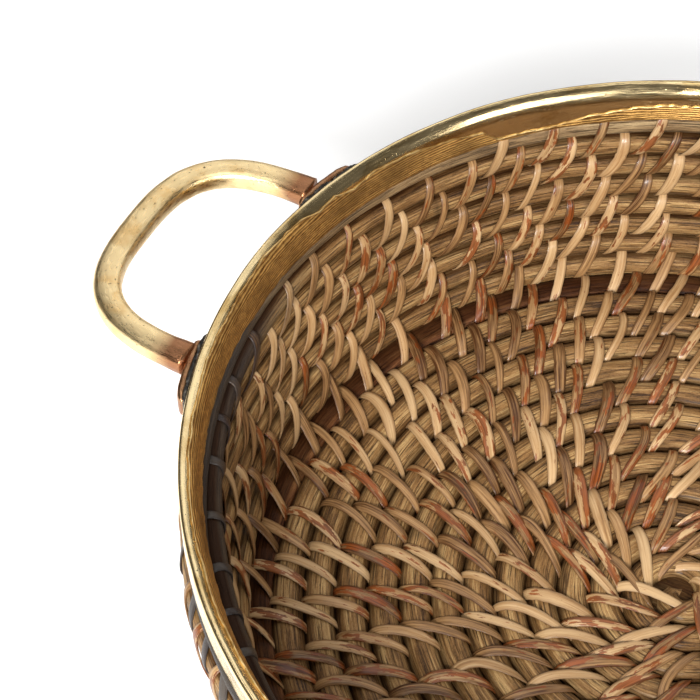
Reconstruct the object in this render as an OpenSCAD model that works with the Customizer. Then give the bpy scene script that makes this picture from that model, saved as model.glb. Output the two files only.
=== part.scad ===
// Round serving tray coiled from rattan core, lashed with flat cane strips, with a brass rim and
// two brass loop handles. One core runs as a flat spiral for the base and climbs as a helix for
// the wall. Millimetres, +Z up, the tray stands on z = 0 with its axis on Z and a handle on -X and +X.

/* [Tray] */
// Outer diameter of the brass rim
rim_d = 350; // [330:2:380]
// Height from the table to the top of the rim
tray_h = 98; // [92:1:120]
// Radius of the outermost coil that lies in the base
base_r = 150.5; // [146:0.5:154]
// Radius of the lowest coil of the wall
wall_foot_r = 160.5; // [158:0.5:163]

/* [Core] */
// Turns of core in the base, with the corner coil
base_turns = 13; // [12:1:14]
// Turns of core in the wall above its lowest coil
wall_turns = 7; // [6:1:8]
// Radius of the core in the base
base_core_r = 4.8; // [4.5:0.1:5]
// Radius of the thicker core at the corner
corner_core_r = 5.6; // [5.2:0.1:5.8]
// Radius of the core in the wall
wall_core_r = 4.6; // [4:0.1:4.7]

/* [Cane lashing] */
// Width of a cane strip
cane_w = 4; // [3:0.25:5]
// Thickness of a cane strip
cane_t = 0.75; // [0.5:0.05:0.9]
// Stitches in one turn of the wall; the part stitch staggers neighbouring rows
wall_stitches = 45.56; // [43.56:1:47.56]
// Lean of a stitch away from square across the coils
stitch_slant = 24; // [20:1:26]
// Distance between the stitches of one row near the middle of the base
centre_spacing = 12.5; // [12.5:0.5:15]

/* [Brass rim] */
// Height of the rim's outer skirt
skirt_h = 14; // [10:1:16]
// Thickness of the rim's metal
rim_t = 1.1; // [0.8:0.1:1.4]
// Width of the rim's flat top
rim_top_w = 3.4; // [3:0.2:4.4]
// Width of the rim across its lower edge
rim_foot_w = 7.7; // [7:0.1:8.5]

/* [Handles] */
// Reach of the handle's centre line past the tray's axis
handle_reach = 220; // [212:1:230]
// Half the spread of the handle's two feet
handle_half_w = 44; // [38:1:48]
// Roundness of the handle's outline, 2 is an ellipse
handle_power = 2.4; // [2:0.1:3]
// Width of the handle's bar, seen from above
bar_w = 10.5; // [8:0.5:12]
// Height of the handle's bar
bar_h = 9; // [7:0.5:11]
// Thickness of the pads that carry the handle
pad_t = 3; // [2:0.5:4]

/* [Hidden] */

RATTAN = [0.62, 0.49, 0.34];
DARK_RATTAN = [0.33, 0.20, 0.14];
SCORCHED = [0.27, 0.25, 0.22];
CANE = [0.80, 0.67, 0.47];
BRASS = [0.83, 0.65, 0.33];
SOLDER = [0.22, 0.21, 0.20];

core_sides = 8;                                   // the core's facets, with one flat underneath
corner_z = corner_core_r * cos(180 / core_sides); // the corner coil's flat is the tray's foot
base_gap = 1;                                     // the base and its cane hang clear of the table
base_z = base_core_r + cane_t + base_gap;
wall_foot_z = corner_z + 7.4;
rim_r = rim_d / 2;
skirt_z = tray_h - skirt_h;
rim_mid_r = rim_r - rim_foot_w / 2;               // middle of the rim's channel
top_coil_z = skirt_z - 3;                         // the last full coil sits under the rim

eye_turn = 0.45;                                  // the core starts this far round the spiral
corner_turn = base_turns - 0.55;                  // where the plain core gives way to the dark one
wall_turn = base_turns + 1;                       // the first turn that stands on the corner coil
foot_turn = base_turns + 0.45;                    // where the dark core gives way to the wall's
last_turn = wall_turn + wall_turns;               // the last full coil
scorch_turn = last_turn - 0.6;                    // where the scorched core starts
tail_turn = last_turn + 0.6;                      // where the core has tapered off inside the rim
start_angle = 142.5;                              // azimuth of every whole turn
base_pitch = 11.4;
spacing_growth = 0.056;                           // the stitches open out this much per mm of radius
clearance = cane_w / cos(stitch_slant) + 0.6;     // least distance between stitches on one coil
search_step = 0.5;                                // how far a stitch moves each time to find its place
eye_r = base_r - base_pitch * base_turns;
tail_core_r = wall_core_r / 2;

handle_start = rim_r - 2;                         // the bar's ends, measured along X
handle_z = tray_h - bar_h / 2;
handle_steps = 28;
pad_start = 11.5;                                 // angles of a pad from the handle's middle
pad_end = 20.5;
pad_margin = 1.5;                                 // the pad's distance from the skirt's edges
solder_t = 1;
strap_fn = 24;

// ---- the path of the core, as a function of the turns laid so far ----

function mix(a, b, f) = a + (b - a) * min(max(f, 0), 1);
function coil_angle(t) = start_angle + 360 * t;
function coil_r(t) =
    t <= base_turns ? eye_r + base_pitch * t :
    t <= wall_turn ? mix(base_r, wall_foot_r, t - base_turns) :
    mix(wall_foot_r, rim_mid_r + 0.35, (t - wall_turn) / wall_turns);
function coil_z(t) =
    t <= corner_turn ? base_z :
    t <= base_turns ? mix(base_z, corner_z, (t - corner_turn) * 6) :
    t <= wall_turn ? mix(corner_z, wall_foot_z, (t - base_turns - 0.2) / 0.8) :
    wall_foot_z + (top_coil_z - wall_foot_z) * (t - wall_turn) / wall_turns;
function core_r(t) =
    t < corner_turn ? base_core_r :
    t < foot_turn ? corner_core_r :
    mix(wall_core_r, tail_core_r, (t - last_turn) / (tail_turn - last_turn));

// facets round one turn: the small turns near the eye need fewer
function turn_steps(t) = t < 4 ? 14 : t < 8 ? 22 : t < 12 ? 30 : 36;

// a closed tube through rings of points, each ring with the same number of points
module tube(rings) {
    n = len(rings);
    m = len(rings[0]);
    points = [for (ring = rings) for (p = ring) p];
    sides = [for (i = [0:n - 2]) for (j = [0:m - 1])
        [i * m + j, i * m + (j + 1) % m, (i + 1) * m + (j + 1) % m, (i + 1) * m + j]];
    caps = [[for (j = [m - 1:-1:0]) j], [for (j = [0:m - 1]) (n - 1) * m + j]];
    polyhedron(points, concat(sides, caps), convexity = 10);
}

function core_ring(t, r) = [for (k = [0:core_sides - 1])
    let (b = -360 * (k + 0.5) / core_sides,
         out = coil_r(t) + r * cos(b),
         a = coil_angle(t))
    [out * cos(a), out * sin(a), coil_z(t) + r * sin(b)]];

// the stretch of core between two places on the spiral
module core(t0, t1) {
    inner = [for (k = [floor(t0):floor(t1)]) for (j = [0:turn_steps(k) - 1])
        let (t = k + j / turn_steps(k)) if (t > t0 + 0.004 && t < t1 - 0.004) t];
    stations = concat([t0], inner, [t1]);
    tube([for (t = stations) core_ring(t, core_r(mix(t0 + 0.001, t1 - 0.001, (t - t0) / (t1 - t0))))]);
}

module base_core() { color(RATTAN) core(eye_turn, corner_turn); }
module corner_core() { color(DARK_RATTAN) core(corner_turn, foot_turn); }
module wall_core() { color(RATTAN) core(foot_turn, scorch_turn); }
module top_core() { color(SCORCHED) core(scorch_turn, tail_turn); }

// packing strand that fills the rim's channel above the last coil
module rim_core() {
    strand_r = 1.6;
    color(SCORCHED) rotate_extrude($fn = 96)
        translate([rim_r - rim_t - strand_r - 0.2, tray_h - rim_t - strand_r - 4]) circle(strand_r, $fn = 24);
}

// ---- cane stitches: flat closed loops, each round two neighbouring coils ----

module race_track(length, r) {
    translate([0, length / 2]) circle(r, $fn = strap_fn);
    translate([0, -length / 2]) circle(r, $fn = strap_fn);
    square([2 * r, length], center = true);
}

module strap(length, r_in) {
    rotate([90, 0, 0]) linear_extrude(cane_w, center = true) difference() {
        race_track(length, r_in + cane_t);
        race_track(length, r_in);
    }
}

// the loop that ties the coil at turn t to the coil one turn further out or up
module stitch(t) {
    dr = coil_r(t + 1) - coil_r(t);
    dz = coil_z(t + 1) - coil_z(t);
    r_in = (core_r(t) + core_r(t + 1)) / 2;
    spare = 2 * r_in * (1 / cos(stitch_slant) - 1);
    rotate([0, 0, coil_angle(t)])
        translate([coil_r(t) + dr / 2, 0, coil_z(t) + dz / 2])
        rotate([0, atan2(dr, dz), 0]) rotate([stitch_slant, 0, 0])
        strap(norm([dr, dz]) / cos(stitch_slant) + spare, r_in);
}

// the wall's stitches are evenly spaced, and start in the outermost row of the base
function wall_row(t0, t1) =
    [for (j = [ceil(t1 * wall_stitches) - 1:-1:ceil(t0 * wall_stitches)]) j / wall_stitches];

// From there to the middle each stitch is laid one spacing from the last one, or the next place in
// from it where it misses the stitches of the two rows outside it.
function laid(stitches) =
    let (last = stitches[len(stitches) - 1],
         middle_r = coil_r(last + 0.5),
         spacing = centre_spacing + spacing_growth * middle_r,
         t = next_clear(last - spacing / (2 * PI * middle_r), stitches))
    t < 1 ? stitches : laid(concat(stitches, [t]));

function next_clear(t, stitches) =
    is_clear(t, stitches) ? t : next_clear(t - search_step / (2 * PI * coil_r(t + 0.5)), stitches);

// the nearer row shares a coil with stitch t, the further one only meets it between two coils
function is_clear(t, stitches) =
    let (shared_r = coil_r(t + 1),
         room = clearance * shared_r / (shared_r - base_core_r - cane_t),
         half_lean = (base_core_r + cane_t) * tan(stitch_slant),
         lean = base_pitch * tan(stitch_slant),
         meets = [for (s = stitches)
             let (near = (s - 1 - t) * 2 * PI * shared_r + lean,
                  far = (s - 2 - t) * 2 * PI * coil_r(t + 1.5) + lean + 2 * half_lean)
             if (abs(near) < room || (far > 0 && far < clearance)) s])
    len(meets) == 0;

module wall_rows(t0, t1) {
    for (t = wall_row(t0, t1)) stitch(t);
}

// single loops that close the eye, round the start of the core only
module centre_lashing() {
    color(CANE) for (t = [eye_turn + 0.1:0.15:0.9])
        rotate([0, 0, coil_angle(t)]) translate([coil_r(t), 0, base_z]) strap(0.01, base_core_r);
}

module base_lashing() {
    color(CANE) for (t = laid(wall_row(base_turns - 2, base_turns))) if (t < corner_turn - 1) stitch(t);
}

// stitches that touch the corner coil are worn level with the foot
module corner_lashing() {
    foot = [2 * rim_r, 2 * rim_r, 10];
    color(CANE) difference() {
        wall_rows(corner_turn - 1, foot_turn);
        translate([-foot.x / 2, -foot.y / 2, -foot.z]) cube(foot);
    }
}

module wall_lashing() { color(CANE) wall_rows(foot_turn, scorch_turn - 1); }
module top_lashing() { color(SCORCHED) wall_rows(scorch_turn - 1, last_turn - 1); }

// ---- brass rim ----

lean = (rim_foot_w - rim_top_w) / skirt_h;        // the inner face's slope
function inner_r(z) = rim_r - rim_top_w - lean * (tray_h - z);
hoop_leg_z = tray_h - 8;                          // lower edge of the hoop's inner leg
band_top_z = tray_h - 5;                          // the inner band laps over the leg up to here
band_t = 0.7;

// channel with a full outer skirt, a rounded top and a short inner leg
module rim_hoop() {
    round_r = 1;
    color(BRASS) rotate_extrude($fn = 128) difference() {
        union() {
            polygon([[rim_r, skirt_z], [rim_r, tray_h - round_r], [rim_r - round_r, tray_h],
                     [inner_r(tray_h) + round_r / 2, tray_h], [inner_r(tray_h - 0.5), tray_h - 0.5],
                     [inner_r(hoop_leg_z), hoop_leg_z]]);
            translate([rim_r - round_r, tray_h - round_r]) circle(round_r, $fn = 32);
        }
        polygon([[rim_r - rim_t, skirt_z - 1], [rim_r - rim_t, tray_h - rim_t],
                 [inner_r(tray_h - rim_t) + rim_t, tray_h - rim_t],
                 [inner_r(hoop_leg_z - 1) + rim_t, hoop_leg_z - 1], [inner_r(skirt_z) - 2, skirt_z - 1]]);
    }
}

// rough inner band, brazed over the hoop's inner leg
module rim_inner_band() {
    color(BRASS * 0.8) rotate_extrude($fn = 128)
        polygon([[inner_r(skirt_z), skirt_z], [inner_r(band_top_z), band_top_z],
                 [inner_r(band_top_z) - band_t, band_top_z], [inner_r(skirt_z) - band_t, skirt_z]]);
}

// the bead of filler along the band's upper edge
module rim_braze_seam() {
    bead_r = 0.6;
    color(BRASS) rotate_extrude($fn = 128)
        translate([inner_r(band_top_z) - bead_r, band_top_z + bead_r]) circle(bead_r, $fn = 16);
}

// ---- handles ----

function power(x, n) = sign(x) * pow(abs(x), n);
function bar_point(a) = [handle_start + (handle_reach - handle_start) * power(cos(a), 2 / handle_power),
                         handle_half_w * power(sin(a), 2 / handle_power)];

// flat oval section with eight sides, across the bar and up
bar_section = [for (k = [0:7]) let (b = 360 * k / 8)
    [bar_w / 2 * power(cos(b), 0.7), bar_h / 2 * power(sin(b), 0.7)]];

function bar_ring(a) =
    let (p = bar_point(a), step = bar_point(min(a + 1, 90)) - bar_point(max(a - 1, -90)),
         across = [step.y, -step.x] / norm(step))
    [for (s = bar_section) [p.x + s.x * across.x, p.y + s.x * across.y, handle_z + s.y]];

module handle() {
    color(BRASS) tube([for (i = [handle_steps:-1:0]) bar_ring(-90 + 180 * i / handle_steps)]);
}

module right_handle() { handle(); }
module left_handle() { rotate([0, 0, 180]) handle(); }

// a curved plate that follows the rim's skirt, from angle a0 to a1
module skirt_plate(r0, thickness, margin, a0, a1) {
    rotate([0, 0, a0]) rotate_extrude(angle = a1 - a0, $fn = 128)
        translate([r0, skirt_z + margin]) square([thickness, skirt_h - 2 * margin]);
}

module pad() { color(BRASS) skirt_plate(rim_r + solder_t, pad_t, pad_margin, pad_start, pad_end); }
module solder() {
    color(SOLDER) skirt_plate(rim_r, solder_t, pad_margin - 1, pad_start - 1, pad_end + 1);
}

module right_rear_pad() { pad(); }
module right_front_pad() { mirror([0, 1, 0]) pad(); }
module left_rear_pad() { mirror([1, 0, 0]) pad(); }
module left_front_pad() { rotate([0, 0, 180]) pad(); }
module right_rear_solder() { solder(); }
module right_front_solder() { mirror([0, 1, 0]) solder(); }
module left_rear_solder() { mirror([1, 0, 0]) solder(); }
module left_front_solder() { rotate([0, 0, 180]) solder(); }

base_core();
corner_core();
wall_core();
top_core();
rim_core();
centre_lashing();
base_lashing();
corner_lashing();
wall_lashing();
top_lashing();
rim_hoop();
rim_inner_band();
rim_braze_seam();
left_handle();
right_handle();
left_front_pad();
left_rear_pad();
right_front_pad();
right_rear_pad();
left_front_solder();
left_rear_solder();
right_front_solder();
right_rear_solder();
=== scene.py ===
"""Looks of the coiled rattan tray with its brass rim and handles. Metres, built from millimetres."""

import math

import bpy
import numpy as np
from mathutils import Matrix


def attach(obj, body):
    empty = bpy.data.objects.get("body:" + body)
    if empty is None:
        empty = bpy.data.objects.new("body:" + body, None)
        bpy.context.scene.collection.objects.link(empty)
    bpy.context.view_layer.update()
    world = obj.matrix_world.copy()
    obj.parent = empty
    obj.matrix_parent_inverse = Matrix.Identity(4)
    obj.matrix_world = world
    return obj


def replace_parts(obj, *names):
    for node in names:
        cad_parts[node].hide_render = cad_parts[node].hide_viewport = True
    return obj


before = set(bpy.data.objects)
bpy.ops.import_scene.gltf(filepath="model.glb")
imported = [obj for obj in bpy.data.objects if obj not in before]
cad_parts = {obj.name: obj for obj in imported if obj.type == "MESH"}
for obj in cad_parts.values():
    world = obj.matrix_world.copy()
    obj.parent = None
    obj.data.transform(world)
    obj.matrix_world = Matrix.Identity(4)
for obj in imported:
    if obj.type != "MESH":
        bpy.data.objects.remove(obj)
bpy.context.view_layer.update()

MM = 0.001
TURN = 2 * math.pi

# ---- sizes, in millimetres ----
# The rim and the coil's path are the part's. The cores are a little thicker than the part's, so
# that neighbouring coils touch. A turn is one lap of the coil, counted from the eye.
RIM_R = 175.0
TRAY_H = 98.0
SKIRT_Z = 84.0
BASE_R = 150.5
WALL_FOOT_R = 160.5
BASE_TURNS = 13.0
WALL_TURN = 14.0
LAST_TURN = 21.0
TAIL_TURN = 21.6
SCORCH_TURN = 20.4
CORE_START = -0.15
CORNER_TURN = 12.45
FOOT_TURN = 13.45
START_ANGLE = math.radians(142.5)
BASE_PITCH = 11.4
EYE_R = BASE_R - BASE_PITCH * BASE_TURNS
BASE_CORE_R = 5.85
CORNER_CORE_R = 6.35
WALL_CORE_R = 4.8
LEAST_CORE_R = 3.4  # where the core starts in the eye
FOOT_SWELL = 1.35  # extra radius of the core on the lowest turn of the wall
BASE_Z = 6.55
CORNER_Z = 5.25
WALL_FOOT_Z = 12.57
TOP_COIL_Z = 81.0
TOP_COIL_R = 171.5
MEAN_WALL_R = 165.0  # for lengths along the wall's coils
SWAY = 0.18  # how far the coil strays sideways
HEAVE = 0.25  # how far it strays up or down

# the tray is out of round where the wall was pushed out and the top coil slipped in
DENT_AZIMUTH = math.radians(215.0)
DENT_WIDTH = math.radians(30.0)
DENT_BULGE = 3.4  # outward, on the wall
DENT_TUCK = 5.4  # inward, on the top coil


# ---- small helpers ----
def mix(a, b, f):
    """From a to b as f goes from 0 to 1."""
    return a + (b - a) * np.clip(f, 0.0, 1.0)


def smooth(f):
    """From 0 to 1 as f does, easing in and out."""
    f = np.clip(f, 0.0, 1.0)
    return f * f * (3 - 2 * f)


def wander(x, seed, period=4096):
    """Smooth random values between -1 and 1 along x, one new value at each whole number."""
    values = np.random.default_rng(seed).uniform(-1, 1, period)
    x = np.asarray(x, float)
    i = np.floor(x).astype(int)
    f = smooth(x - i)
    return values[i % period] * (1 - f) + values[(i + 1) % period] * f


def power(x, n):
    """x to the power n, keeping its sign, for rounded squares."""
    return np.sign(x) * np.abs(x) ** n


# ---- the path of the core ----
def lobe(angle):
    """1 in the middle of the dent, falling to 0 on both sides of it."""
    away = (angle - DENT_AZIMUTH + math.pi) % TURN - math.pi
    return np.exp(-((away / DENT_WIDTH) ** 2))


def char_at(t, first_turn):
    """How burnt a coil or a stitch is: only near the dent, and only above a given turn."""
    return lobe(path_angle(t)) ** 0.4 * (t > first_turn)


def path_length(t):
    """Length of core laid up to turn t, near enough for textures."""
    t = np.asarray(t, float)
    in_base = TURN * (EYE_R * t + BASE_PITCH * t * t / 2)
    end_of_base = TURN * (EYE_R * BASE_TURNS + BASE_PITCH * BASE_TURNS**2 / 2)
    return np.where(t < BASE_TURNS, in_base, end_of_base + TURN * MEAN_WALL_R * (t - BASE_TURNS))


def path_angle(t):
    """Direction from the tray's axis at turn t."""
    return START_ANGLE + TURN * t


def path_r(t):
    """Radius of the coil's middle line: a flat spiral, then a helix that widens as it climbs."""
    r = np.where(
        t <= BASE_TURNS,
        EYE_R + BASE_PITCH * t,
        np.where(
            t <= WALL_TURN,
            mix(BASE_R, WALL_FOOT_R, t - BASE_TURNS),
            WALL_FOOT_R + (TOP_COIL_R - WALL_FOOT_R) * (t - WALL_TURN) / (LAST_TURN - WALL_TURN),
        ),
    )
    up = np.clip((t - WALL_TURN) / (LAST_TURN - WALL_TURN), 0, 1)
    bulge = DENT_BULGE * np.sin(math.pi * np.clip(up * 1.1, 0, 1) ** 1.5) ** 0.8
    tuck = DENT_TUCK * smooth((t - SCORCH_TURN + 0.42) / 0.3) * (1 - smooth((t - LAST_TURN) / 0.3))
    sway = SWAY * wander(path_length(t) / 24, 11) * smooth((t - 0.8) / 2)
    return r + lobe(path_angle(t)) * (bulge * (tuck < 0.5) - tuck) + sway


def path_z(t):
    """Height of the coil's middle line, with the corner coil lower than the base."""
    z = np.where(
        t <= CORNER_TURN,
        BASE_Z,
        np.where(
            t <= BASE_TURNS,
            mix(BASE_Z, CORNER_Z, (t - CORNER_TURN) * 6),
            np.where(
                t <= WALL_TURN,
                mix(CORNER_Z, WALL_FOOT_Z, (t - BASE_TURNS - 0.2) / 0.8),
                WALL_FOOT_Z
                + (TOP_COIL_Z - WALL_FOOT_Z) * (t - WALL_TURN) / (LAST_TURN - WALL_TURN),
            ),
        ),
    )
    return z + HEAVE * wander(path_length(t) / 19, 12) * smooth((t - 0.8) / 2)


def core_radius(t):
    """Half the thickness of the core, which tapers away over its tail."""
    thick = mix(WALL_CORE_R, WALL_CORE_R / 2, (t - LAST_TURN) / (TAIL_TURN - LAST_TURN))
    wall = thick + FOOT_SWELL * (1 - smooth((t - FOOT_TURN - 0.7) / 0.8))
    r = np.where(t < CORNER_TURN, BASE_CORE_R, np.where(t < FOOT_TURN, CORNER_CORE_R, wall))
    r = np.minimum(r, np.maximum(EYE_R + BASE_PITCH * t, LEAST_CORE_R))
    return r * (1 + 0.022 * wander(path_length(t) / 31, 13))


# ---- meshes ----
def make_mesh(name, points, faces, attributes, material):
    """An object from arrays: points in millimetres, faces with four corners each."""
    mesh = bpy.data.meshes.new(name)
    mesh.vertices.add(len(points))
    mesh.vertices.foreach_set("co", (np.asarray(points, np.float32) * MM).ravel())
    mesh.loops.add(faces.size)
    mesh.loops.foreach_set("vertex_index", faces.astype(np.int32).ravel())
    mesh.polygons.add(len(faces))
    mesh.polygons.foreach_set("loop_start", np.arange(0, faces.size, 4, dtype=np.int32))
    mesh.polygons.foreach_set("use_smooth", np.ones(len(faces), bool))
    for key, values in attributes.items():
        values = np.asarray(values, np.float32)
        if values.ndim == 2:
            layer = mesh.attributes.new(key, "FLOAT_VECTOR", "POINT")
            layer.data.foreach_set("vector", values.ravel())
        else:
            layer = mesh.attributes.new(key, "FLOAT", "POINT")
            layer.data.foreach_set("value", values)
    mesh.update(calc_edges=True)
    mesh.validate()
    mesh.materials.append(material)
    obj = bpy.data.objects.new(name, mesh)
    bpy.context.scene.collection.objects.link(obj)
    return obj


CAP_SHARE = 0.02  # size of the small ring that closes the end of a tube


def grid_faces(rows, columns, close_rows, close_columns):
    """Four-cornered faces over a grid of points, row by row."""
    i = np.arange(rows if close_rows else rows - 1)
    j = np.arange(columns if close_columns else columns - 1)
    i, j = np.meshgrid(i, j, indexing="ij")
    i2 = (i + 1) % rows
    j2 = (j + 1) % columns
    corners = [i * columns + j, i * columns + j2, i2 * columns + j2, i2 * columns + j]
    return np.stack([c.ravel() for c in corners], axis=1)


def swept(rings, close):
    """Points and faces of a tube through rings (stations, points of a ring, 3)."""
    count, sides = rings.shape[:2]
    points = rings.reshape(-1, 3)
    faces = grid_faces(count, sides, close, True)
    if close:
        return points, faces
    # each end shrinks to a small ring, and the faces across that ring close it
    caps = []
    extra = []
    for end, order in ((0, -1), (count - 1, 1)):
        ring = rings[end]
        centre = ring.mean(0)
        inner = centre + (ring - centre) * CAP_SHARE
        start = len(points) + sum(len(e) for e in extra)
        extra.append(inner)
        j = np.arange(sides)
        j2 = (j + 1) % sides
        quad = np.stack([end * sides + j, end * sides + j2, start + j2, start + j], axis=1)
        caps.append(quad if order == 1 else quad[:, ::-1])
        half = np.arange(0, sides // 2 - 1)
        far = start + sides - 1 - half
        fill = np.stack([start + half, start + half + 1, far - 1, far], axis=1)
        caps.append(fill if order == 1 else fill[:, ::-1])
    points = np.concatenate([points] + extra)
    return points, np.concatenate([faces] + caps)


def at_ring(angle, r, z):
    """Points from an angle, a radius and a height."""
    return np.stack([r * np.cos(angle), r * np.sin(angle), z], axis=-1)


# ---- the core ----
CORE_SIDES = 18
CORE_STEP = 2.6  # between rings of points
HEART_R = 15.0
HEART_UP = 3.0
CHAR_TURN = 19.8  # cores are burnt only above this turn
WALL_PRESS = 0.09  # extra height of the wall's coils, as a share
JOINT_GAPS = (110, 260)  # least and greatest distance between growth joints
JOINT_COUNT = 200
ROUGHNESS = 0.05  # unevenness of the core's surface
CORE_CLEAR = 0.3  # lowest height of a core


def heart_of_core():
    """The flat heart that the first turns are wound on, which closes the eye."""
    rise = np.radians(np.linspace(-84, 84, 12))[:, None]
    turn = np.arange(CORE_SIDES)[None, :] * TURN / CORE_SIDES
    wide = HEART_R * np.cos(rise)
    high = BASE_Z + HEART_UP * np.sin(rise) + 0 * turn
    return swept(np.stack([wide * np.cos(turn), wide * np.sin(turn), high], -1), False)


def build_core(name, t0, t1, material, seed):
    """The core from turn t0 to turn t1, a ring of points every few millimetres."""
    length = float(path_length(t1) - path_length(t0))
    count = int(length / CORE_STEP)
    fine = np.linspace(t0, t1, 4000)
    t = np.interp(np.linspace(path_length(t0), path_length(t1), count), path_length(fine), fine)
    inside = np.clip(t, t0 + 0.0005, t1 - 0.0005)
    s = path_length(t)
    phi = np.arange(CORE_SIDES) * TURN / CORE_SIDES
    radius = core_radius(inside)
    # a growth joint every hand's breadth or so, as a low ridge round the stem
    joints = np.cumsum(np.random.default_rng(seed).uniform(*JOINT_GAPS, JOINT_COUNT)) + float(s[0])
    nearest = np.abs(s[:, None] - joints[None, :]).min(1)
    radius = radius * (1 + 0.05 * np.exp(-((nearest / 2.4) ** 2)))
    rough = ROUGHNESS * wander(s[:, None] / 6 + phi[None, :] * 9.0, seed + 1)
    section = radius[:, None] + rough
    angle = path_angle(t)[:, None] + 0 * phi[None, :]
    r = path_r(t)[:, None] + section * np.cos(phi)
    # on the wall the coils are pressed together and a little taller than wide
    tall = 1 + WALL_PRESS * smooth((t - FOOT_TURN) / 0.5)
    z = path_z(t)[:, None] + section * np.sin(phi) * tall[:, None]
    z = np.maximum(z, CORE_CLEAR)
    rings = at_ring(angle, r, z)
    points, faces = swept(rings[:, ::-1], False)
    along = np.repeat(s, CORE_SIDES)
    around = np.tile(phi[::-1], count)
    fibre = np.stack([along, WALL_CORE_R * np.cos(around), WALL_CORE_R * np.sin(around)], axis=1)
    extra = len(points) - len(fibre)
    fibre = np.concatenate([fibre, fibre[:extra]])
    joint = np.repeat(np.exp(-((nearest / 1.6) ** 2)), CORE_SIDES)
    joint = np.concatenate([joint, np.zeros(extra)])
    # painted shade between the coils: the sides that face the next coils are darker, beside it in the base,
    # above and below on the wall
    turns = np.repeat(t, CORE_SIDES)
    beside = np.where(turns < BASE_TURNS, np.abs(np.cos(around)), 0)
    above = np.where(turns > CORNER_TURN, np.abs(np.sin(around)), 0)
    crevice_shade = smooth((np.maximum(beside, above) - 0.6) / 0.3)
    # the closed ends are painted fully shaded
    crevice_shade = np.concatenate([crevice_shade, np.ones(extra)])
    char = np.concatenate([char_at(turns, CHAR_TURN), np.zeros(extra)])
    attributes = {"fibre": fibre, "joint": joint, "crevice_shade": crevice_shade, "char": char}
    if t0 < 0:
        heart, heart_faces = heart_of_core()
        faces = np.concatenate([faces, heart_faces + len(points)])
        points = np.concatenate([points, heart])
        blank = np.zeros(len(heart))
        attributes["fibre"] = np.concatenate([fibre, heart])
        attributes["joint"] = np.concatenate([joint, blank])
        # the heart is painted fully shaded as well
        attributes["crevice_shade"] = np.concatenate([crevice_shade, blank + 1])
        attributes["char"] = np.concatenate([char, blank])
    obj = make_mesh(name, points, faces, attributes, material)
    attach(obj, "root")
    return obj


# ---- cane stitches ----
STRIP_W = 4.2
STRIP_T = 0.72
STRIP_GAP = 0.16  # clearance of a strip over the core
REACH_R = 176.35  # no strip stands out further than this, away from the dent
LOOP_LENGTH = 46.0  # about the length of one loop, for the texture
NEIGHBOUR_REACH = 40.0  # stitches of two rows push each other only within this distance
ROW_ROOM = 0.42  # room between stitches of two rows, as a share of the spacing
LEAST_SPACING = 0.8  # room between stitches of one row, as a share of the spacing
STRIP_CLEAR = 0.02  # lowest height of a strip
STATIONS = 44  # points along one loop
ARCH = 2.6  # roundness of a loop's outline, 2 is an ellipse
HOOK = 0.3  # sideways hook at a strip's ends, as a share of its lean
FIRST_STITCH = 1.02  # turn of the first stitch outside the eye
EYE_STITCHES = [0.22, 0.37, 0.51, 0.65, 0.78, 0.9]
SETTLING_ROUNDS = 160
PUSH = 0.25  # share of a lack of room by which a stitch gives way in one round
PULL_BACK = 0.01  # share of the way back to its first place in one round


def stitch_spacing(t):
    """Distance from one stitch to the next, wider on the larger turns."""
    return 11.9 + 0.049 * path_r(t + 0.5)


def slant_of(t):
    """Sideways run of a stitch over half its length: long near the middle, short on the wall."""
    return mix(8.4, 5.2, (t - 1.5) / 7.0) - 0.6 * smooth((t - 12) / 2)


def place_stitches():
    """Turns at which the stitches sit, evened out so that neighbouring rows miss each other."""
    rng = np.random.default_rng(7)
    places = [FIRST_STITCH]
    while places[-1] < LAST_TURN - 1:
        t = places[-1]
        turn_length = TURN * float(path_r(t + 0.5))
        places.append(t + float(stitch_spacing(t)) / turn_length)
    t = np.array(places)
    turn_length = TURN * path_r(t + 1)
    t = t + rng.normal(0, 1.1, len(t)) / turn_length
    first = t.copy()
    room = ROW_ROOM * stitch_spacing(t)
    for _ in range(SETTLING_ROUNDS):
        push = np.zeros(len(t))
        shift = 2 * slant_of(t) * 0.55 / turn_length
        wanted = t + 1 - shift
        for side in (0, 1):
            other = np.clip(np.searchsorted(t, wanted) - 1 + side, 0, len(t) - 1)
            gap = (t[other] - wanted) * turn_length
            real = np.abs(gap) < NEIGHBOUR_REACH
            lack = np.where(real, np.maximum(room - np.abs(gap), 0), 0) * np.where(gap >= 0, 1, -1)
            np.add.at(push, other, PUSH * lack / turn_length)
            push -= PUSH * lack / turn_length
        gap = np.diff(t) * turn_length[:-1]
        lack = np.maximum(LEAST_SPACING * stitch_spacing(t[1:]) - gap, 0)
        push[1:] += PUSH * lack / turn_length[1:]
        push[:-1] -= PUSH * lack / turn_length[:-1]
        push += PULL_BACK * (first - t)
        t = np.sort(t + push)
    return t


def strip_section():
    """Across a strip: (share of the half width, share of the thickness), with its edges eased."""
    return np.array(
        [(-1.0, 0.45), (-0.9, 0.82), (-0.5, 0.97), (0.0, 1.0), (0.5, 0.97), (0.9, 0.82),
         (1.0, 0.45), (0.9, 0.04), (0.0, 0.0), (-0.9, 0.04)]
    )


def loop_outline(half_length, half_height):
    """Evenly spaced stations round each stitch: how far along and how far out from its middle."""
    fine = np.linspace(0, TURN, 721)
    x = power(np.cos(fine), 2 / ARCH)
    y = power(np.sin(fine), 2 / ARCH)
    steps = np.hypot(np.diff(x) * 2, np.diff(y))
    walked = np.concatenate([[0], np.cumsum(steps)])
    pick = np.interp(np.arange(STATIONS) / STATIONS * walked[-1], walked, fine)
    x = power(np.cos(pick), 2 / ARCH)
    y = power(np.sin(pick), 2 / ARCH)
    return half_length[:, None] * x, half_height[:, None] * y


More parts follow.
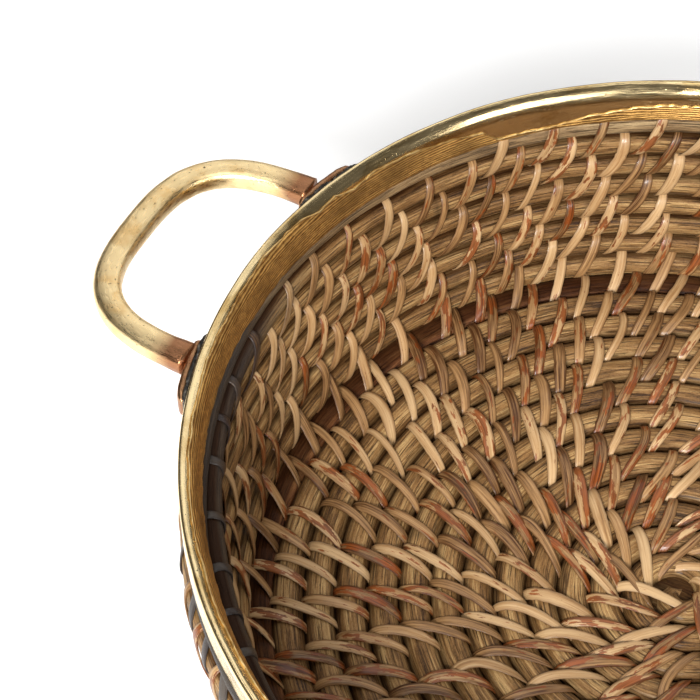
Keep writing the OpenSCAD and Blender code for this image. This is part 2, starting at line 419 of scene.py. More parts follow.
def strip_directions(x, y, side):
    """Directions across each strip and out of the coils, at every station of its loop."""
    ahead = np.stack([np.roll(x, -1, 1), np.roll(y, -1, 1), np.roll(side, -1, 1)], -1)
    behind = np.stack([np.roll(x, 1, 1), np.roll(y, 1, 1), np.roll(side, 1, 1)], -1)
    along = ahead - behind
    along /= np.linalg.norm(along, axis=-1, keepdims=True)
    out = np.stack([along[..., 1], -along[..., 0], 0 * x], -1)
    out /= np.linalg.norm(out, axis=-1, keepdims=True)
    across = np.cross(along, out)
    across /= np.linalg.norm(across, axis=-1, keepdims=True)
    return across, out


def stitch_attributes(rng, t, section):
    """Straightened coordinates, random tones and painted shade along the edges, for the cane's material."""
    sides = len(section)
    shape = (len(t), STATIONS, sides)
    number = np.arange(len(t))[:, None, None]
    fibre = np.empty((*shape, 3))
    fibre[..., 0] = np.linspace(0, LOOP_LENGTH, STATIONS)[None, :, None] + number * 61.0
    fibre[..., 1] = section[:, 0] * 2.0 + number * 7.0
    fibre[..., 2] = 0.3 * section[:, 1]
    tone = np.broadcast_to(rng.random((len(t), 1, 1)), shape)
    skin = np.broadcast_to(rng.random((len(t), 1, 1)), shape)
    # painted shade along each strip's edges, where its sides fall in shadow
    edge = np.broadcast_to(np.abs(section[:, 0]) ** 5, shape)
    return {
        "fibre": fibre.reshape(-1, 3),
        "tone": tone.ravel(),
        "skin": skin.ravel(),
        "edge": edge.ravel(),
        "char": np.repeat(char_at(t, CHAR_TURN - 1), STATIONS * sides),
    }


def build_stitches(name, t, material, seed):
    """Closed loops of cane, each round the coil at turn t and the coil one turn later."""
    rng = np.random.default_rng(seed)
    n = len(t)
    r0, r1 = path_r(t), path_r(t + 1)
    z0, z1 = path_z(t), path_z(t + 1)
    core = np.maximum(core_radius(t), core_radius(t + 1))
    span = np.hypot(r1 - r0, z1 - z0)
    dr, dz = (r1 - r0) / span, (z1 - z0) / span
    half_length = span / 2 + core + STRIP_GAP
    x, y = loop_outline(half_length, core * 1.05 + STRIP_GAP)
    share = x / half_length[:, None]
    # the strip leans back as it goes outward, and hooks along the coil where it dives under
    lean = slant_of(t)[:, None] * (1 + 0.12 * rng.normal(size=(n, 1)))
    hook = HOOK * lean * (1 + 0.5 * rng.normal(size=(n, 1)))
    side = -lean * share + hook * share**2 - 0.4 * hook
    width = STRIP_W * (1 + 0.11 * rng.normal(size=(n, 1))) * (1 - 0.2 * np.abs(share) ** 3)
    width = width * (1 + 0.03 * rng.normal(size=(n, STATIONS)))
    across, out = strip_directions(x, y, side)
    roll = 0.1 * rng.normal(size=(n, 1, 1))
    tilted = out * np.cos(roll) + across * np.sin(roll)
    across = across * np.cos(roll) - out * np.sin(roll)
    section = strip_section()
    centre = np.stack([x, y, side], -1)[:, :, None, :]
    offset = (
        across[:, :, None, :] * (section[:, 0] * 0.5)[None, None, :, None] * width[:, :, None, None]
        + tilted[:, :, None, :] * (section[:, 1] * STRIP_T)[None, None, :, None]
    )
    local = centre + offset
    lx, ly, ls = local[..., 0], local[..., 1], local[..., 2]
    mid_r, mid_z = (r0 + r1) / 2, (z0 + z1) / 2
    shape = (n, 1, 1)
    r = mid_r.reshape(shape) + lx * dr.reshape(shape) - ly * dz.reshape(shape)
    z = mid_z.reshape(shape) + lx * dz.reshape(shape) + ly * dr.reshape(shape)
    turn_at = path_angle(t).reshape(shape)
    r = np.minimum(r, REACH_R + DENT_BULGE * lobe(turn_at))
    cos_t, sin_t = np.cos(turn_at), np.sin(turn_at)
    # sideways runs follow the coils on the larger turns and go straight near the eye
    bend = np.clip(mid_r.reshape(shape) / 60, 0, 1)
    swing = ls / np.maximum(r, 6.0)
    bent_x, bent_y = r * np.cos(swing), r * np.sin(swing)
    out_x = bent_x * bend + r * (1 - bend)
    out_y = bent_y * bend + ls * (1 - bend)
    points = np.stack([out_x * cos_t - out_y * sin_t, out_x * sin_t + out_y * cos_t, z], -1)
    # under the foot the strips are worn to the table's plane
    points[..., 2] = np.maximum(points[..., 2], STRIP_CLEAR)
    sides = len(section)
    one = grid_faces(STATIONS, sides, True, True)
    faces = (one[None] + (np.arange(n) * STATIONS * sides)[:, None, None]).reshape(-1, 4)
    obj = make_mesh(name, points.reshape(-1, 3), faces, stitch_attributes(rng, t, section), material)
    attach(obj, "root")
    return obj


# ---- brass rim ----
def wobble(angle, seed, times, size):
    """A change that runs round the rim and meets itself."""
    return size * wander(angle / TURN * times, seed, times)


RIM_STEPS = 900
BEAD_R = 0.36  # radius of the bead of braze, which varies round the rim
BAND_RELIEF = 0.4  # how far the rough band stands out of the face
BAND_SINK = 0.3  # how deep its back lies in the face


def rim_dents(angle):
    """The rim is hand finished, and nowhere quite round."""
    return np.minimum(wobble(angle, 21, 37, 0.16) + wobble(angle, 22, 131, 0.06) - 0.2, 0)


# the polished face, from the outer top edge to the lower inner edge: radius past the skirt, height
FACE = np.array(
    [(-0.45, 97.85), (-1.2, 97.98), (-2.2, 97.55), (-3.6, 96.4), (-4.9, 94.8), (-5.7, 92.8),
     (-6.3, 90.0), (-7.0, 87.0), (-7.7, 84.0)]
)
FACE_SHARE = np.concatenate([[0], np.cumsum(np.hypot(*np.diff(FACE, axis=0).T))])
FACE_SHARE = FACE_SHARE / FACE_SHARE[-1]


def face_at(share):
    """Radius and height on the face, and the direction out of it, at shares of the way down."""
    here = [np.interp(share, FACE_SHARE, FACE[:, k]) for k in (0, 1)]
    above = [np.interp(share - 0.03, FACE_SHARE, FACE[:, k]) for k in (0, 1)]
    below = [np.interp(share + 0.03, FACE_SHARE, FACE[:, k]) for k in (0, 1)]
    run, fall = below[0] - above[0], below[1] - above[1]
    size = np.hypot(run, fall)
    return RIM_R + here[0], here[1], fall / size, -run / size


def build_hoop(material):
    """The rim: its skirt, the polished face and the hidden inside of the channel, all the way round."""
    skirt = np.array(
        [(-0.95, 84.25), (-0.6, 84.0), (-0.15, 84.15), (0.0, 84.7), (-0.06, 86.0), (-0.2, 88.5),
         (-0.24, 91.0), (-0.14, 93.5), (0.0, 95.3), (0.0, 96.6), (-0.14, 97.4)]
    )
    share = np.linspace(0, 1, 22)
    face = np.stack([face_at(share)[0] - RIM_R, face_at(share)[1]], 1)
    hidden = np.array(
        [(-7.3, 83.98), (-6.8, 84.3), (-6.0, 87.2), (-5.3, 90.2), (-4.8, 92.4), (-4.1, 94.2), (-3.0, 95.4),
         (-2.0, 96.3), (-1.2, 96.3), (-1.0, 92.0), (-1.0, 86.0)]
    )
    outline = np.concatenate([skirt, face, hidden])
    angle = np.arange(RIM_STEPS) * TURN / RIM_STEPS
    grid_angle = angle[:, None] + 0 * outline[None, :, 0]
    high = smooth((outline[:, 1] - 93) / 5)[None, :]
    r = RIM_R + outline[None, :, 0] + rim_dents(grid_angle)
    z = outline[None, :, 1] + np.minimum(wobble(grid_angle, 23, 61, 0.12) - 0.1, 0) * high
    points = at_ring(grid_angle, r, z).reshape(-1, 3)
    faces = grid_faces(RIM_STEPS, len(outline), True, True)
    unroll = np.stack([grid_angle * RIM_R, r, z], -1).reshape(-1, 3)
    obj = make_mesh("RimHoop", points, faces, {"fibre": unroll}, material)
    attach(obj, "root")
    return obj


# height of the braze line below the rim's top, at angles in degrees round the tray
SEAM_LINE = [
    (0, 3.0), (35, 4.5), (60, 3.5), (90, 6.5), (104, 9.0), (117, 8.6), (127, 11.0), (132.5, 13.6),
    (139.5, 13.4), (141.5, 9.0), (145.5, 7.0), (152.5, 5.0), (157.5, 4.0), (161.5, 6.0), (164.5, 3.0),
    (167.5, 4.5), (170.5, 1.9), (173, 1.4), (190, 1.6), (207.5, 1.4), (230, 2.2), (260, 4.0),
    (300, 5.5), (330, 3.0), (360, 3.0),
]


def seam_share(angle):
    """How far down the rim's face the braze line runs."""
    knots = np.array(SEAM_LINE, float)
    drop = np.interp(np.degrees(angle) % 360, knots[:, 0], knots[:, 1])
    drop = drop + wobble(angle, 31, 170, 0.4) + wobble(angle, 32, 420, 0.2)
    return np.clip(0.13 + 0.06 * drop, 0.16, 0.96)


def build_inner_band(material):
    """The rough band from the braze line down to the face's lower edge."""
    steps = 1500
    rows = 14
    angle = np.arange(steps) * TURN / steps
    top = seam_share(angle)
    down = np.linspace(0, 1, rows)
    share = top[:, None] + (1 - top[:, None]) * down[None, :]
    face_r, face_z, out_r, out_z = face_at(share)
    grid_angle = angle[:, None] + 0 * share
    # shallow chased lines that swirl along the band
    bend = 3 * wander(grid_angle / TURN * 60, 41, 60)
    swirl = np.sin(grid_angle * 95 + bend + share * 26)
    hammered = wander(grid_angle / TURN * 700 + share * 12, 42, 700)
    relief = BAND_RELIEF + 0.1 * swirl + 0.1 * hammered
    relief = relief * (0.6 + 0.4 * np.sin(math.pi * np.clip(down, 0.04, 0.96)))[None, :]
    dents = rim_dents(grid_angle)
    front_r = face_r + dents + relief * out_r
    front_z = np.maximum(face_z + relief * out_z, SKIRT_Z + 0.02)
    back_r = (face_r + dents - BAND_SINK * out_r)[:, ::-1]
    back_z = (face_z - BAND_SINK * out_z)[:, ::-1]
    r = np.concatenate([front_r, back_r], 1)
    z = np.concatenate([front_z, np.maximum(back_z, SKIRT_Z + 0.02)], 1)
    grid_angle = angle[:, None] + 0 * z
    points = at_ring(grid_angle, r, z).reshape(-1, 3)
    faces = grid_faces(steps, rows * 2, True, True)
    unroll = np.stack([grid_angle * RIM_R, r * 0 + RIM_R, z], -1).reshape(-1, 3)
    obj = make_mesh("RimInnerBand", points, faces, {"fibre": unroll}, material)
    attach(obj, "root")
    return obj


def build_braze(material):
    """The wavy bead of braze along the band's upper edge."""
    steps = 2400
    sides = 8
    angle = np.arange(steps) * TURN / steps
    phi = np.arange(sides) * TURN / sides
    radius = BEAD_R + wobble(angle, 51, 600, 0.13) + wobble(angle, 52, 190, 0.12)
    face_r, face_z, out_r, out_z = face_at(seam_share(angle))
    centre_r = face_r + rim_dents(angle) + 0.2 * out_r
    centre_z = face_z + 0.2 * out_z
    r = centre_r[:, None] + radius[:, None] * np.cos(phi)
    z = centre_z[:, None] + 1.2 * radius[:, None] * np.sin(phi)
    grid_angle = angle[:, None] + 0 * r
    points = at_ring(grid_angle, r, np.clip(z, SKIRT_Z + 0.05, TRAY_H - 0.05)).reshape(-1, 3)
    faces = grid_faces(steps, sides, True, True)
    unroll = np.stack([grid_angle * RIM_R, r, z], -1).reshape(-1, 3)
    obj = make_mesh("RimBraze", points, faces[:, ::-1], {"fibre": unroll}, material)
    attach(obj, "root")
    return obj


# ---- handles ----
HANDLE_START = 173.0  # x of the handle's feet
HANDLE_REACH = 220.0  # x of the bar's middle line where it is furthest out
HANDLE_HALF = 44.0  # y of the feet
HANDLE_POWER = 2.9  # roundness of the handle's outline, 2 is an ellipse
BAR_W = 10.5
BAR_H = 9.0


def build_handle(name, turned, material, seed):
    """A cast bar bent to a rounded loop; turned is 1 for the +X side and -1 for the other."""
    count = 160
    sides = 20
    a = np.linspace(-math.pi / 2, math.pi / 2, 4001)
    line_x = HANDLE_START + (HANDLE_REACH - HANDLE_START) * power(np.cos(a), 2 / HANDLE_POWER)
    line_y = HANDLE_HALF * power(np.sin(a), 2 / HANDLE_POWER)
    walked = np.concatenate([[0], np.cumsum(np.hypot(np.diff(line_x), np.diff(line_y)))])
    s = np.linspace(0.0005, 0.9995, count) * walked[-1]
    x = np.interp(s, walked, line_x)
    y = np.interp(s, walked, line_y)
    dx = np.gradient(x, s)
    dy = np.gradient(y, s)
    size = np.hypot(dx, dy)
    across_x, across_y = dy / size, -dx / size
    b = np.arange(sides) * TURN / sides
    # flat top, bevelled outer and inner edges, a rounder belly
    corner = np.where(np.sin(b) > 0, 0.5, 0.72)
    wide = 0.5 * BAR_W * power(np.cos(b), corner)
    tall = 0.5 * BAR_H * power(np.sin(b), corner)
    end = np.minimum(s, walked[-1] - s)
    spread = 0.97 + 0.1 * np.exp(-((end / 9) ** 2))
    worn = 1 - 0.012 * (1 + wander(s / 5, seed))
    wide = wide[None, :] * (spread * worn)[:, None]
    tall = tall[None, :] * (0.985 * worn)[:, None] - 0.03
    z = TRAY_H - BAR_H / 2 + tall
    px = x[:, None] + wide * across_x[:, None]
    py = y[:, None] + wide * across_y[:, None]
    rings = np.stack([px * turned, py * turned, np.minimum(z, TRAY_H - 0.02)], -1)
    points, faces = swept(rings[:, ::-1], False)
    b = np.tile(b[::-1], count)
    fibre = np.stack([np.repeat(s, sides), 5 * np.cos(b), 5 * np.sin(b)], 1)
    foot = np.repeat(np.exp(-((end / 13) ** 2)), sides)
    extra = len(points) - len(fibre)
    fibre = np.concatenate([fibre, fibre[:extra]])
    foot = np.concatenate([foot, np.ones(extra)])
    obj = make_mesh(name, points, faces, {"fibre": fibre, "foot": foot}, material)
    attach(obj, "root")
    return obj


def build_plate(name, middle, span, radii, heights, material, seed, lumps):
    """A curved plate on the rim's skirt with rounded edges, or a rough run of solder."""
    rows = 40
    sides = 16
    a0, a1 = span
    r0, r1 = radii
    z0, z1 = heights
    share = np.linspace(-1, 1, rows)
    angle = middle + np.radians((a0 + a1) / 2 + share * (a1 - a0) / 2)
    b = np.arange(sides) * TURN / sides
    fade = np.maximum(1 - np.abs(share) ** 6, 0.03) ** 0.5
    thick = (r1 - r0) / 2 * fade
    high = (z1 - z0) / 2 * (0.55 + 0.45 * fade)
    bump = 1 + lumps * (
        wander(share[:, None] * 9 + np.cos(b)[None, :] * 2.2, seed)
        + 0.6 * wander(share[:, None] * 21 + np.sin(b)[None, :] * 5, seed + 1)
    )
    r = (r0 + thick[:, None]) + thick[:, None] * power(np.cos(b), 0.5)[None, :] * bump
    z = (z0 + z1) / 2 + high[:, None] * power(np.sin(b), 0.45)[None, :] * np.minimum(bump, 1.04)
    grid_angle = angle[:, None] + 0 * r
    z = np.clip(z, SKIRT_Z + 0.1, TRAY_H - 0.1)
    rings = at_ring(grid_angle, r, z)
    points, faces = swept(rings, False)
    fibre = np.stack([np.repeat(share * 14, sides), r.ravel() - RIM_R, z.ravel()], 1)
    extra = len(points) - len(fibre)
    fibre = np.concatenate([fibre, fibre[:extra]])
    foot = np.full(len(points), 0.8)
    obj = make_mesh(name, points, faces[:, ::-1], {"fibre": fibre, "foot": foot}, material)
    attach(obj, "root")
    return obj


# ---- materials ----
def new_material(name):
    """A material, its node tree and its shader."""
    material = bpy.data.materials.new(name)
    material.use_nodes = True
    tree = material.node_tree
    return material, tree, tree.nodes["Principled BSDF"]


def fibre_of(tree, stretch):
    """The straightened coordinates of a piece in millimetres, scaled along and across."""
    source = tree.nodes.new("ShaderNodeAttribute")
    source.attribute_name = "fibre"
    scale = tree.nodes.new("ShaderNodeVectorMath")
    scale.operation = "MULTIPLY"
    scale.inputs[1].default_value = stretch
    tree.links.new(source.outputs["Vector"], scale.inputs[0])
    return scale.outputs[0]


def noise_of(tree, stretch, detail, rough=0.55, distortion=0.0):
    """Noise along the fibres; stretch is how many of its cells fit in a millimetre, each way."""
    node = tree.nodes.new("ShaderNodeTexNoise")
    node.inputs["Scale"].default_value = 1.0
    node.inputs["Detail"].default_value = detail
    node.inputs["Roughness"].default_value = rough
    node.inputs["Distortion"].default_value = distortion
    tree.links.new(fibre_of(tree, stretch), node.inputs["Vector"])
    return node.outputs["Fac"]


def ramp_of(tree, value, stops):
    """A colour for each value, from (place, colour) stops."""
    node = tree.nodes.new("ShaderNodeValToRGB")
    node.color_ramp.elements[0].position = stops[0][0]
    node.color_ramp.elements[0].color = (*stops[0][1], 1)
    node.color_ramp.elements[1].position = stops[-1][0]
    node.color_ramp.elements[1].color = (*stops[-1][1], 1)
    for place, colour in stops[1:-1]:
        element = node.color_ramp.elements.new(place)
        element.color = (*colour, 1)
    tree.links.new(value, node.inputs["Fac"])
    return node.outputs["Color"]


def range_of(tree, value, low, high, to_low, to_high):
    """The value moved from one range to another, and kept inside it."""
    node = tree.nodes.new("ShaderNodeMapRange")
    node.inputs["From Min"].default_value = low
    node.inputs["From Max"].default_value = high
    node.inputs["To Min"].default_value = to_low
    node.inputs["To Max"].default_value = to_high
    tree.links.new(value, node.inputs["Value"])
    return node.outputs["Result"]


def blend_of(tree, factor, a, b):
    """Colour a turning into colour b as the factor goes from 0 to 1."""
    node = tree.nodes.new("ShaderNodeMix")
    node.data_type = "RGBA"
    for socket, value in ((0, factor), (6, a), (7, b)):
        if isinstance(value, tuple):
            node.inputs[socket].default_value = (*value, 1)
        else:
            tree.links.new(value, node.inputs[socket])
    return node.outputs[2]


def sum_of(tree, *parts):
    """The sum of (value, weight) pairs."""
    total = None
    for value, weight in parts:
        if weight != 1:
            times = tree.nodes.new("ShaderNodeMath")
            times.operation = "MULTIPLY"
            times.inputs[1].default_value = weight
            tree.links.new(value, times.inputs[0])
            value = times.outputs[0]
        if total is None:
            total = value
            continue
        plus = tree.nodes.new("ShaderNodeMath")
        plus.operation = "ADD"
        tree.links.new(total, plus.inputs[0])
        tree.links.new(value, plus.inputs[1])
        total = plus.outputs[0]
    return total


def toned(colour, times):
    """The same colour, darker or paler."""
    return tuple(min(c * times, 1) for c in colour)


def float_attribute(tree, name):
    """A number that the mesh carries at each of its points."""
    node = tree.nodes.new("ShaderNodeAttribute")
    node.attribute_name = name
    return node.outputs["Fac"]


def bump_of(tree, height, strength, distance, shader):
    """Relief on the surface, with the distance in metres."""
    node = tree.nodes.new("ShaderNodeBump")
    node.inputs["Strength"].default_value = strength
    node.inputs["Distance"].default_value = distance
    tree.links.new(height, node.inputs["Height"])
    tree.links.new(node.outputs["Normal"], shader.inputs["Normal"])


CHAR_SHADE = (0.018, 0.016, 0.016)


def rattan_material(name, dark, middle, light, gloss):
    """A stem of rattan core: fibres, cracks and dirt, darker at its joints, with painted shade between the
    coils.
    """
    material, tree, shader = new_material(name)
    broad = noise_of(tree, (0.016, 0.2, 0.2), 3)
    streaks = noise_of(tree, (0.06, 1.7, 1.7), 7, 0.7)
    cracks = noise_of(tree, (0.06, 1.9, 1.9), 3, 0.6)
    specks = noise_of(tree, (0.9, 2.6, 2.6), 4, 0.75)
    value = sum_of(tree, (broad, 0.34), (streaks, 0.46), (specks, 0.2))
    colour = ramp_of(tree, value, [(0.4, dark), (0.49, middle), (0.6, light)])
    deep = toned(middle, 0.25)
    split = range_of(tree, cracks, 0.56, 0.63, 0.0, 0.85)
    colour = blend_of(tree, split, colour, deep)
    dirt = range_of(tree, specks, 0.55, 0.66, 0.0, 0.7)
    colour = blend_of(tree, dirt, colour, deep)
    char = sum_of(tree, (float_attribute(tree, "char"), 1), (streaks, 0.5))
    colour = blend_of(tree, range_of(tree, char, 0.6, 0.95, 0.0, 0.9), colour, CHAR_SHADE)
    joint = sum_of(tree, (float_attribute(tree, "joint"), 0.55))
    colour = blend_of(tree, joint, colour, deep)
    # painted shade between the coils: darker and less shiny there
    crevice_shade = float_attribute(tree, "crevice_shade")
    colour = blend_of(tree, sum_of(tree, (crevice_shade, 0.82)), colour, dark)
    tree.links.new(colour, shader.inputs["Base Color"])
    dullness = range_of(tree, streaks, 0.3, 0.7, gloss - 0.08, gloss + 0.12)
    tree.links.new(dullness, shader.inputs["Roughness"])
    shine = range_of(tree, crevice_shade, 0, 1, 0.32, 0.04)
    tree.links.new(shine, shader.inputs["Specular IOR Level"])
    shader.inputs["Coat Weight"].default_value = 0.06
    shader.inputs["Coat Roughness"].default_value = 0.22
    bump_of(tree, sum_of(tree, (streaks, 1), (split, -0.5)), 0.9, 0.0007, shader)
    return material


def cane_material(name, dark, middle, light, skin_colour, skin_from):
    """Flat cane strips: pale streaked wood with patches of red-brown skin left on it, and painted shade
    along their edges.
    """
    material, tree, shader = new_material(name)
    streaks = noise_of(tree, (0.07, 1.7, 1.7), 6, 0.62)
    broad = noise_of(tree, (0.09, 0.35, 0.35), 2)
    patch = noise_of(tree, (0.16, 0.5, 0.5), 6, 0.6)
    tone = float_attribute(tree, "tone")
    value = sum_of(tree, (streaks, 0.6), (tone, 0.26), (broad, 0.16))
    colour = ramp_of(tree, value, [(0.34, dark), (0.5, middle), (0.68, light)])
    reach = sum_of(tree, (patch, 1), (float_attribute(tree, "skin"), 0.3))
    reddened = range_of(tree, reach, skin_from, skin_from + 0.02, 0.0, 0.88)
    skin = ramp_of(tree, streaks, [(0.4, toned(skin_colour, 0.35)), (0.58, skin_colour)])
    colour = blend_of(tree, reddened, colour, skin)
    specks = noise_of(tree, (1.1, 1.6, 1.6), 3, 0.7)
    colour = blend_of(tree, range_of(tree, specks, 0.66, 0.72, 0.0, 0.7), colour, dark)
    # painted shade along the strip's edges
    colour = blend_of(tree, sum_of(tree, (float_attribute(tree, "edge"), 0.7)), colour, dark)
    char = sum_of(tree, (float_attribute(tree, "char"), 1), (patch, 0.7))
    colour = blend_of(tree, range_of(tree, char, 0.75, 1.15, 0.0, 0.93), colour, CHAR_SHADE)
    tree.links.new(colour, shader.inputs["Base Color"])
    tree.links.new(range_of(tree, reddened, 0, 1, 0.45, 0.32), shader.inputs["Roughness"])
    shader.inputs["Specular IOR Level"].default_value = 0.3
    shader.inputs["Coat Weight"].default_value = 0.18
    shader.inputs["Coat Roughness"].default_value = 0.14
    bump_of(tree, sum_of(tree, (streaks, 1), (reddened, 0.35)), 0.5, 0.0004, shader)
    return material


def brass_material(name, light, deep, gloss, bump):
    """Polished brass with cloudy tarnish, scratches and small black pits."""
    material, tree, shader = new_material(name)
    clouds = noise_of(tree, (0.05, 0.12, 0.12), 5, 0.6, 0.6)
    scratch = noise_of(tree, (0.12, 1.6, 1.6), 5, 0.6)
    pits = noise_of(tree, (0.9, 0.9, 0.9), 2, 0.5)
    colour = ramp_of(tree, clouds, [(0.34, deep), (0.52, light), (0.7, toned(light, 1.08))])
    pitted = range_of(tree, pits, 0.7, 0.76, 0.0, 0.85)
    colour = blend_of(tree, pitted, colour, toned(deep, 0.12))
    tree.links.new(colour, shader.inputs["Base Color"])
    shader.inputs["Metallic"].default_value = 1.0
    dullness = range_of(tree, scratch, 0.3, 0.7, gloss - 0.06, gloss + 0.14)
    tree.links.new(dullness, shader.inputs["Roughness"])
    bump_of(tree, sum_of(tree, (scratch, 1), (pitted, -1.2)), bump, 0.0004, shader)
    return material


def handle_material(name, light, deep, tarnish):
    """Cast brass that heat has turned coppery at its feet."""
    material, tree, shader = new_material(name)
    clouds = noise_of(tree, (0.09, 0.14, 0.14), 5, 0.6, 0.5)
    scratch = noise_of(tree, (0.25, 1.4, 1.4), 5, 0.6)
    pits = noise_of(tree, (0.8, 0.8, 0.8), 2, 0.5)
    colour = ramp_of(tree, clouds, [(0.36, deep), (0.52, light), (0.7, toned(light, 1.06))])
    heat = sum_of(tree, (float_attribute(tree, "foot"), 1), (clouds, 0.6))
    colour = blend_of(tree, range_of(tree, heat, 0.62, 1.15, 0.0, 0.9), colour, tarnish)
    pitted = range_of(tree, pits, 0.68, 0.74, 0.0, 0.9)
    colour = blend_of(tree, pitted, colour, toned(deep, 0.1))
    tree.links.new(colour, shader.inputs["Base Color"])
    shader.inputs["Metallic"].default_value = 1.0
    tree.links.new(range_of(tree, scratch, 0.3, 0.7, 0.2, 0.4), shader.inputs["Roughness"])
    bump_of(tree, sum_of(tree, (scratch, 1), (pitted, -1.4)), 0.35, 0.0004, shader)
    return material


def chased_material(name, light, deep):
    """Rough brass with a swirling chased pattern."""
    material, tree, shader = new_material(name)
    wave = tree.nodes.new("ShaderNodeTexWave")
    wave.wave_type = "BANDS"
    wave.bands_direction = "Z"
    wave.inputs["Scale"].default_value = 0.34
    wave.inputs["Distortion"].default_value = 9.0
    wave.inputs["Detail"].default_value = 3.0
    wave.inputs["Detail Scale"].default_value = 0.5
    tree.links.new(fibre_of(tree, (0.07, 0.0, 1.0)), wave.inputs["Vector"])
    grain = noise_of(tree, (0.5, 0.5, 0.9), 5, 0.65)
    broad = noise_of(tree, (0.045, 0.1, 0.1), 3)
    value = sum_of(tree, (wave.outputs["Fac"], 0.4), (grain, 0.6))
    between = tuple((a + b) / 2 for a, b in zip(light, deep))
    colour = ramp_of(tree, value, [(0.28, deep), (0.5, between), (0.72, light)])
    colour = blend_of(tree, range_of(tree, broad, 0.5, 0.68, 0, 0.5), colour, toned(deep, 0.5))
    tree.links.new(colour, shader.inputs["Base Color"])
    shader.inputs["Metallic"].default_value = 0.85
    tree.links.new(range_of(tree, grain, 0.3, 0.7, 0.34, 0.56), shader.inputs["Roughness"])
    bump_of(tree, value, 0.7, 0.0006, shader)
    return material


def solder_material():
    """Blackened solder, paler where its grains stand out."""
    material, tree, shader = new_material("SolderBlack")
    grain = noise_of(tree, (0.45, 0.45, 0.45), 6, 0.65)
    shades = [(0.36, (0.012, 0.011, 0.01)), (0.52, (0.05, 0.045, 0.04)), (0.7, (0.3, 0.26, 0.2))]
    colour = ramp_of(tree, grain, shades)
    tree.links.new(colour, shader.inputs["Base Color"])
    shader.inputs["Metallic"].default_value = 0.6
    shader.inputs["Roughness"].default_value = 0.5
    bump_of(tree, grain, 0.9, 0.001, shader)
    return material


def floor_material():
    """A white studio floor that glows a little."""
    material, _, shader = new_material("StudioFloor")
    shader.inputs["Base Color"].default_value = (0.92, 0.92, 0.92, 1)
    shader.inputs["Emission Color"].default_value = (1, 1, 1, 1)
    shader.inputs["Emission Strength"].default_value = 0.3
    shader.inputs["Roughness"].default_value = 0.9
    shader.inputs["Specular IOR Level"].default_value = 0.1
    return material


RATTAN = rattan_material(
    "Rattan", (0.025, 0.008, 0.002), (0.24, 0.118, 0.036), (0.53, 0.335, 0.138), 0.5
)
# painted shade: a darker copy of the rattan for the corner coil, which the wall shades
SHADED_RATTAN = rattan_material(
    "ShadedRattan", (0.02, 0.006, 0.002), (0.15, 0.05, 0.014), (0.34, 0.15, 0.05), 0.5
)
SCORCHED = rattan_material(
    "ScorchedRattan", (0.03, 0.018, 0.008), (0.24, 0.145, 0.065), (0.48, 0.34, 0.175), 0.5
)
CANE = cane_material(
    "Cane", (0.06, 0.02, 0.004), (0.34, 0.185, 0.073), (0.54, 0.355, 0.178), (0.25, 0.055, 0.008), 0.735
)
SCORCHED_CANE = cane_material(
    "ScorchedCane", (0.06, 0.025, 0.006), (0.38, 0.225, 0.1), (0.57, 0.39, 0.21), (0.24, 0.055, 0.009), 0.74
)
POLISHED = brass_material("PolishedBrass", (0.9, 0.7, 0.38), (0.62, 0.42, 0.17), 0.14, 0.16)
HANDLE_BRASS = handle_material(
    "HandleBrass", (0.93, 0.71, 0.38), (0.82, 0.55, 0.24), (0.28, 0.1, 0.045)
)
CHASED = chased_material("ChasedBrass", (0.78, 0.46, 0.14), (0.2, 0.09, 0.022))
BRAZE = brass_material("Braze", (0.86, 0.62, 0.28), (0.55, 0.33, 0.11), 0.3, 0.4)
SOLDER = solder_material()

# ---- the tray ----
stitch_turns = place_stitches()


def stitches_between(t0, t1):
    """The stitches whose turns lie from t0 up to t1."""
    return stitch_turns[(stitch_turns >= t0) & (stitch_turns < t1)]


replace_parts(build_core("BaseCore", CORE_START, CORNER_TURN, RATTAN, 101), "base_core")
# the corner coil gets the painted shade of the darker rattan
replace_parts(build_core("CornerCore", CORNER_TURN, FOOT_TURN, SHADED_RATTAN, 102), "corner_core")
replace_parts(build_core("WallCore", FOOT_TURN, SCORCH_TURN, RATTAN, 103), "wall_core")
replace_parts(build_core("TopCore", SCORCH_TURN, TAIL_TURN, SCORCHED, 104), "top_core")

base_turns = np.concatenate([EYE_STITCHES, stitches_between(1, CORNER_TURN - 1)])
base_stitches = build_stitches("BaseStitches", base_turns, CANE, 201)
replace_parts(base_stitches, "base_lashing", "centre_lashing")
corner_turns = stitches_between(CORNER_TURN - 1, FOOT_TURN)
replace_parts(build_stitches("CornerStitches", corner_turns, CANE, 202), "corner_lashing")
wall_turns = stitches_between(FOOT_TURN, SCORCH_TURN - 1)
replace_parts(build_stitches("WallStitches", wall_turns, CANE, 203), "wall_lashing")
top_turns = stitches_between(SCORCH_TURN - 1, LAST_TURN - 1)
top_stitches = build_stitches("TopStitches", top_turns, SCORCHED_CANE, 204)
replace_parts(top_stitches, "top_lashing")

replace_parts(build_hoop(POLISHED), "rim_hoop")
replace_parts(build_inner_band(CHASED), "rim_inner_band")
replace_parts(build_braze(BRAZE), "rim_braze_seam")
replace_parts(build_handle("RightHandle", 1, HANDLE_BRASS, 301), "right_handle")
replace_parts(build_handle("LeftHandle", -1, HANDLE_BRASS, 302), "left_handle")

# the pads and the solder behind them: inner and outer radius, then lower and upper height
PAD_RADII = (RIM_R + 0.7, RIM_R + 3.9)
PAD_HEIGHTS = (85.6, 96.6)
SOLDER_RADII = (RIM_R - 0.4, RIM_R + 1.3)
SOLDER_HEIGHTS = (84.6, 97.2)
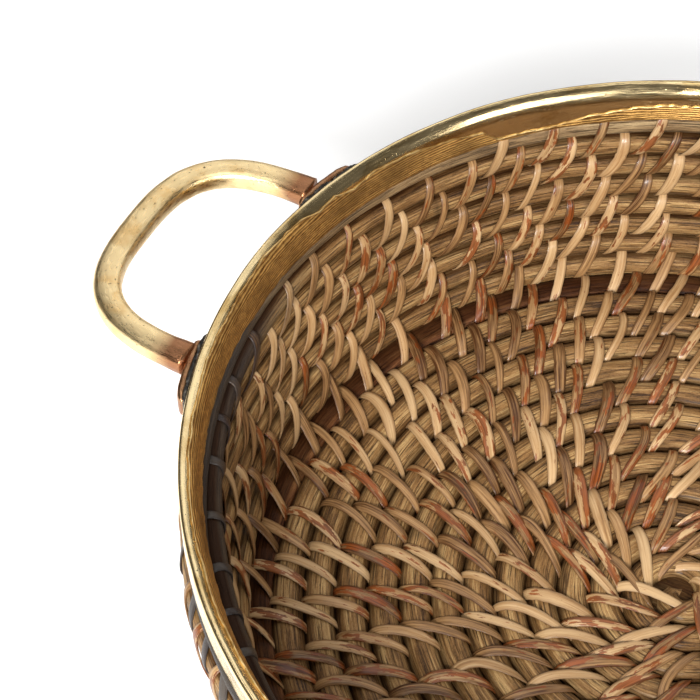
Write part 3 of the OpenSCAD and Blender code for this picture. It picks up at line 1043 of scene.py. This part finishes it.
# each foot's name, the middle of its side, and where it starts and ends in degrees from there
PLATES = [
    ("RightRear", 0.0, 11.5, 20.5),
    ("RightFront", 0.0, -20.5, -11.5),
    ("LeftRear", math.pi, -20.5, -11.5),
    ("LeftFront", math.pi, 11.5, 20.5),
]
for number, (label, middle, a0, a1) in enumerate(PLATES):
    node = label.replace("Right", "right_").replace("Left", "left_").lower()
    plate = build_plate(
        label + "Pad", middle, (a0, a1), PAD_RADII, PAD_HEIGHTS, HANDLE_BRASS,
        400 + number, 0.03,
    )
    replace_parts(plate, node + "_pad")
    joint = build_plate(
        label + "Solder", middle, (a0 - 1, a1 + 1), SOLDER_RADII, SOLDER_HEIGHTS, SOLDER,
        500 + number, 0.22,
    )
    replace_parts(joint, node + "_solder")

# the strand inside the rim keeps the part's own mesh
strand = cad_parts["rim_core"]
strand.data.materials.clear()
strand.data.materials.append(SCORCHED)

# ---- floor, light and camera ----
FLOOR_SIZE = 8
FLOOR_Z = -0.0002
bpy.ops.mesh.primitive_plane_add(size=FLOOR_SIZE, location=(0, 0, FLOOR_Z))
floor = bpy.context.object
floor.name = "StudioFloor"
floor.data.materials.append(floor_material())


def area_light(name, place, aim, size_x, size_y, watts):
    """A rectangular light at a place, turned toward a point."""
    data = bpy.data.lights.new(name, "AREA")
    data.shape = "RECTANGLE"
    data.size = size_x
    data.size_y = size_y
    data.energy = watts
    light = bpy.data.objects.new(name, data)
    bpy.context.scene.collection.objects.link(light)
    light.location = place
    toward = [aim[i] - place[i] for i in range(3)]
    flat = math.hypot(toward[0], toward[1])
    light.rotation_euler = (math.atan2(flat, -toward[2]), 0, math.atan2(-toward[0], toward[1]))


# the camera, worked out from how the rim's circle looks in the photo
CAMERA_TURN = math.radians(27.5)
CAMERA_TILT = math.radians(39.22)
CAMERA_PLACE = (0.07347, -0.39827, 0.6232)
CAMERA_LENS = 102.86


def from_camera(right, back, up):
    """A place given as seen by the camera: to its right, away from it, and up."""
    c, s = math.cos(CAMERA_TURN), math.sin(CAMERA_TURN)
    return (right * c - back * s, right * s + back * c, up)


area_light("Overhead", from_camera(-0.2, 0.1, 1.4), (0, 0, 0), 0.9, 0.8, 4.8)
area_light("Key", from_camera(-0.36, -1.14, 0.86), (0, 0, 0.03), 0.5, 0.5, 38)
area_light("Backdrop", from_camera(0.35, 1.0, 0.95), (0, 0, 0.05), 2.2, 0.9, 6.5)
area_light("FrontRight", from_camera(0.75, -0.85, 0.8), (0, 0, 0.05), 0.45, 0.45, 5.5)

world = bpy.data.worlds.new("Studio")
bpy.context.scene.world = world
world.use_nodes = True
background = world.node_tree.nodes["Background"]
background.inputs["Color"].default_value = (1.0, 0.97, 0.92, 1)
background.inputs["Strength"].default_value = 0.1

camera_data = bpy.data.cameras.new("Camera")
camera = bpy.data.objects.new("Camera", camera_data)
bpy.context.scene.collection.objects.link(camera)
camera.location = CAMERA_PLACE
camera.rotation_euler = (CAMERA_TILT, 0, CAMERA_TURN)
camera_data.lens = CAMERA_LENS
camera_data.sensor_width = 36
camera_data.clip_start = 0.01
camera_data.dof.use_dof = False
bpy.context.scene.camera = camera
bpy.context.scene.view_settings.view_transform = "Standard"
